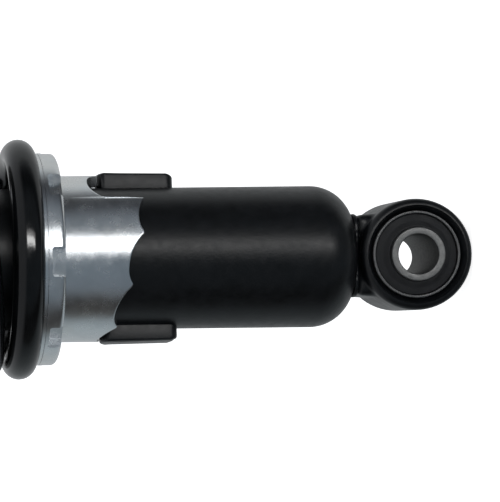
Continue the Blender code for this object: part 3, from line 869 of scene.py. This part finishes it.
def bump_stop():
    low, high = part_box("bump_stop")
    inner = ROD_RADIUS + 0.15 * MM
    made = lathe("bump_rubber", [
        (12.5 * MM, high.z, 1 * MM),
        (13 * MM, high.z - 5.5 * MM, 2 * MM),
        (10.6 * MM, high.z - 7.6 * MM, 0.9 * MM),
        (12.3 * MM, high.z - 10 * MM, 1.6 * MM),
        (9.3 * MM, high.z - 12.6 * MM, 0.9 * MM),
        (10 * MM, low.z + 2.4 * MM, 1.4 * MM),
        (8.2 * MM, low.z, 0.8 * MM),
        (inner, low.z, 0.4 * MM),
        (inner, high.z),
    ], steps=128)
    finish_piece(made, "rod_group", RUBBER, "rubber", "bump_stop", sharp=60)
    low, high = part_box("bump_stop_washer")
    washer = lathe("bump_washer", [
        (high.x, high.z, 0.3 * MM),
        (high.x, low.z, 0.3 * MM),
        (inner, low.z),
        (inner, high.z),
    ])
    finish_piece(washer, "rod_group", ZINC, "zinc_plate", "bump_stop_washer")


def upper_seat():
    low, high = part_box("upper_spring_seat")
    plate = low.z + 5 * MM
    lip = high.x
    made = lathe("spring_seat", [
        (12 * MM, high.z, 0.8 * MM),
        (13.5 * MM, plate + 2.5 * MM, 1.5 * MM),
        (lip, plate + 2.5 * MM, 2.4 * MM),
        (lip, low.z, 0.4 * MM),
        (lip - 1.8 * MM, low.z, 0.4 * MM),
        (lip - 1.8 * MM, plate + 0.15 * MM, 0.8 * MM),
        (21.5 * MM, plate + 0.15 * MM, 0.6 * MM),
        (20.6 * MM, plate - 3 * MM, 0.5 * MM),
        (18.4 * MM, plate - 3 * MM, 0.5 * MM),
        (17.5 * MM, plate + 0.15 * MM, 0.6 * MM),
        (ROD_RADIUS + 0.2 * MM, plate + 0.15 * MM),
        (ROD_RADIUS + 0.2 * MM, high.z, 0.3 * MM),
    ], steps=176)
    finish_piece(made, "upper_seat", ZINC_TURNED, "zinc_plate", "upper_spring_seat")


def lock_nut():
    low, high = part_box("rod_lock_nut")
    corner = 9.5 * MM / cos(pi / 6)
    outline = [(corner * cos(pi / 3 * k), corner * sin(pi / 3 * k)) for k in range(6)]
    model = bmesh.new()
    face = model.faces.new([model.verts.new((x, y, low.z)) for x, y in outline])
    grown = bmesh.ops.extrude_face_region(model, geom=[face])
    top = [g for g in grown["geom"] if isinstance(g, bmesh.types.BMVert)]
    bmesh.ops.translate(model, verts=top, vec=(0, 0, high.z - low.z))
    made = bpy.data.objects.new("lock_nut", to_mesh("lock_nut", model))
    ease = 0.75 * MM
    cone = lathe("nut_turning", [
        (corner - 1.3 * MM, high.z),
        (corner + 0.1 * MM, high.z - ease),
        (corner + 0.1 * MM, low.z + ease),
        (corner - 1.3 * MM, low.z),
        (ROD_RADIUS + 0.9 * MM, low.z),
        (ROD_RADIUS + 0.1 * MM, low.z + ease),
        (ROD_RADIUS + 0.1 * MM, high.z - ease),
        (ROD_RADIUS + 0.9 * MM, high.z),
    ], steps=120)
    made = with_boolean(made, cone, "INTERSECT")
    add_bevel(made, 0.15 * MM, 2, above=40)
    finish_piece(made, "rod_group", ZINC, "zinc_plate", "rod_lock_nut")


# ---------------------------------------------------------------- build
COAT = black_coat()
GLOSS = gloss_black()
ZINC_TURNED = zinc_plate()
ZINC = plain_zinc()
CUT_STEEL = cut_steel()
# Darker than the sleeves' cut ends: painted shade for the inside of the bores.
BORE_STEEL_PAINTED_SHADE = hidden_metal("bore_steel_painted_shade", (0.05, 0.05, 0.048), (0.09, 0.09, 0.086), 0.55)
SHELL_STEEL = hidden_metal("bush_shell_steel", (0.09, 0.09, 0.09), (0.16, 0.16, 0.16), 0.5)
CHROME = chrome_rod()
RUBBER = moulded_rubber()
INSIDE = {
    "steel": hidden_metal("inner_steel", (0.36, 0.36, 0.37), (0.5, 0.5, 0.5), 0.3),
    "cast_alloy": hidden_metal("inner_alloy", (0.55, 0.55, 0.56), (0.7, 0.7, 0.7), 0.35),
    "bronze": hidden_metal("inner_bronze", (0.4, 0.25, 0.11), (0.55, 0.36, 0.17), 0.4),
    "rubber": RUBBER,
}

eye("lower_eye", LOWER_EYE_Z, 1, "damper_body")
bush("lower", LOWER_EYE_Z, "damper_body", "lower_sleeve")
neck_path = rounded_rectangle(9.8 * MM, 7.6 * MM, 3 * MM, BODY_BOTTOM_Z, 0.28 * MM)
weld_bead("eye_weld", neck_path, 0.75 * MM, "damper_body")
reservoir_tube()
for lug_name, lug_azimuth in LUG_AZIMUTHS.items():
    cam_lug(lug_name, lug_azimuth)
gland()
collar()
slip_ring()
spring()
rod()
bump_stop()
upper_seat()
lock_nut()
shank_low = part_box("upper_eye")[0].z
eye("upper_eye", UPPER_EYE_Z, -1, "rod_group", shank=(10 * MM, shank_low, UPPER_EYE_Z - 8 * MM))
bush("upper", UPPER_EYE_Z, "rod_group", "upper_sleeve")

slots = {entry["node"]: entry["material_slot"] for entry in frame["record"]["subparts"]}
for node_name, node in frame["nodes"].items():
    if not node.hide_render:
        node.material_slots[0].link = "OBJECT"
        node.material_slots[0].material = INSIDE[slots[node_name]]


# ---------------------------------------------------------------- floor, light and camera
def environment():
    """A studio of upright bands round the damper's axis, white to the camera's eye."""
    world = bpy.data.worlds.new("studio")
    bpy.context.scene.world = world
    world.use_nodes = True
    tree = world.node_tree
    tree.nodes.clear()

    def add(kind, **settings):
        node = tree.nodes.new(kind)
        for name, value in settings.items():
            setattr(node, name, value)
        return node

    def math(operation, first, second=0.0):
        node = add("ShaderNodeMath", operation=operation)
        for socket, value in zip(node.inputs, (first, second)):
            if isinstance(value, bpy.types.NodeSocket):
                tree.links.new(value, socket)
            else:
                socket.default_value = value
        return node.outputs[0]

    parts = add("ShaderNodeSeparateXYZ")
    tree.links.new(add("ShaderNodeTexCoord").outputs["Generated"], parts.inputs[0])
    x, y, z = parts.outputs
    turn = math("ARCTAN2", x, math("MULTIPLY", y, -1.0))
    share = math("ADD", math("DIVIDE", turn, tau), 0.5)
    ramp = add("ShaderNodeValToRGB")
    # Degrees from the camera's side towards +X, and the colour there.
    stops = [
        (-180, (0.5, 0.51, 0.52)),
        (-112, (0.37, 0.42, 0.44)),
        (-95, (0.26, 0.3, 0.32)),
        (-86, (0.075, 0.075, 0.072)),
        (-72, (0.027, 0.025, 0.024)),
        (-59, (0.035, 0.034, 0.033)),
        (-50, (0.12, 0.135, 0.15)),
        (-42, (0.15, 0.18, 0.21)),
        (-10, (0.15, 0.185, 0.215)),
        (25, (0.2, 0.22, 0.24)),
        (50, (0.18, 0.205, 0.23)),
        (62, (0.125, 0.14, 0.16)),
        (74, (0.028, 0.031, 0.037)),
        (90, (0.032, 0.035, 0.039)),
        (99, (0.18, 0.19, 0.2)),
        (112, (0.6, 0.63, 0.64)),
        (180, (0.5, 0.51, 0.52)),
    ]
    elements = ramp.color_ramp.elements
    while len(elements) < len(stops):
        elements.new(0.5)
    for element, (degrees_round, colour) in zip(elements, stops):
        element.position = degrees_round / 360 + 0.5
        element.color = (*colour, 1)
    tree.links.new(share, ramp.inputs[0])

    def window(value, low, high, soft):
        """1 between low and high, fading over soft on each side."""
        rise = add("ShaderNodeMapRange", interpolation_type="SMOOTHSTEP")
        tree.links.new(value, rise.inputs["Value"])
        rise.inputs["From Min"].default_value = low - soft
        rise.inputs["From Max"].default_value = low
        fall = add("ShaderNodeMapRange", interpolation_type="SMOOTHSTEP")
        tree.links.new(value, fall.inputs["Value"])
        fall.inputs["From Min"].default_value = high
        fall.inputs["From Max"].default_value = high + soft
        return math("MULTIPLY", rise.outputs[0], math("SUBTRACT", 1.0, fall.outputs[0]))

    def laid_over(colour, share, over):
        """The colour, with another one over it where share is 1."""
        mix = add("ShaderNodeMix", data_type="RGBA")
        tree.links.new(share, mix.inputs[0])
        tree.links.new(colour, mix.inputs[6])
        mix.inputs[7].default_value = (*over, 1)
        return mix.outputs[2]

    strip_round = window(turn, radians(11.5), radians(25), radians(2.5))
    strip = math("MULTIPLY", strip_round, window(z, -0.62, 0.3, 0.08))
    overhead = window(z, 0.6, 1.1, 0.35)
    seen_directly = add("ShaderNodeLightPath").outputs["Is Camera Ray"]
    colour = laid_over(ramp.outputs[0], overhead, (0.55, 0.57, 0.6))
    colour = laid_over(colour, strip, (4.2, 4.2, 4.2))
    colour = laid_over(colour, seen_directly, (1, 1, 1))
    background = add("ShaderNodeBackground")
    tree.links.new(colour, background.inputs[0])
    tree.links.new(background.outputs[0], add("ShaderNodeOutputWorld").inputs[0])


def floor():
    """A pale floor under the lower eye. Glossy rays pass it, so metal mirrors the studio."""
    model = bmesh.new()
    bmesh.ops.create_circle(model, cap_ends=True, segments=96, radius=2.2)
    plane = bpy.data.objects.new("floor", to_mesh("floor", model))
    bpy.context.scene.collection.objects.link(plane)
    n = Nodes("pale_floor")
    n.set("Base Color", (0.8, 0.8, 0.8))
    n.set("Roughness", 0.9)
    n.set("Specular IOR Level", 0.0)
    n.set("Emission Color", (1.0, 1.0, 1.0))
    n.set("Emission Strength", 0.86)
    clear = n.add("ShaderNodeBsdfTransparent")
    mix = n.add("ShaderNodeMixShader")
    n.link(n.add("ShaderNodeLightPath").outputs["Is Glossy Ray"], mix.inputs[0])
    n.link(n.shader.outputs[0], mix.inputs[1])
    n.link(clear.outputs[0], mix.inputs[2])
    n.link(mix.outputs[0], n.tree.nodes["Material Output"].inputs["Surface"])
    plane.data.materials.append(n.material)


def camera():
    """Side view at right angles to the damper, rolled so that the damper lies along the picture."""
    place = Vector((-0.0185, -0.557, LOWER_EYE_Z + 0.158))
    roll = radians(0.62)
    right = -UP * cos(roll) - Vector((1, 0, 0)) * sin(roll)
    up = -UP * sin(roll) + Vector((1, 0, 0)) * cos(roll)
    turned = Matrix((right, up, right.cross(up))).transposed()
    data = bpy.data.cameras.new("camera")
    data.sensor_width = 36
    data.sensor_fit = "AUTO"
    data.lens = 156.5
    data.clip_start = 0.01
    made = bpy.data.objects.new("camera", data)
    made.matrix_world = Matrix.Translation(place) @ turned.to_4x4()
    bpy.context.scene.collection.objects.link(made)
    bpy.context.scene.camera = made
    # The lens shift belongs to this place only, so another viewpoint gets none.
    for name, value in (("shift_x", 0.922), ("shift_y", 0.167)):
        driver = data.driver_add(name).driver
        variable = driver.variables.new()
        variable.name = "y"
        variable.targets[0].id = made
        variable.targets[0].data_path = "location.y"
        driver.expression = f"{value} if abs(y - {place.y:.6f}) < 0.0001 else 0.0"


def spring_light():
    """A panel in line with the studio's strip, which only the spring's gloss mirrors."""
    azimuth = radians(16)
    distance = 0.9
    height = SPRING_BOTTOM_Z + WIRE_RADIUS - 0.2
    panel = bpy.data.lights.new("spring_light", "AREA")
    panel.shape = "RECTANGLE"
    panel.size = 0.14
    panel.size_y = 0.9
    panel.energy = 7.5
    made = bpy.data.objects.new("spring_light", panel)
    made.location = (distance * sin(azimuth), -distance * cos(azimuth), height)
    made.rotation_euler = (radians(90), 0, azimuth)
    bpy.context.scene.collection.objects.link(made)
    lit = bpy.data.collections.new("spring_light_receivers")
    for coil in ("coil_lower", "coil_upper"):
        lit.objects.link(bpy.data.objects[coil])
    made.light_linking.receiver_collection = lit


environment()
floor()
spring_light()
camera()
bpy.context.scene.view_settings.view_transform = "Standard"
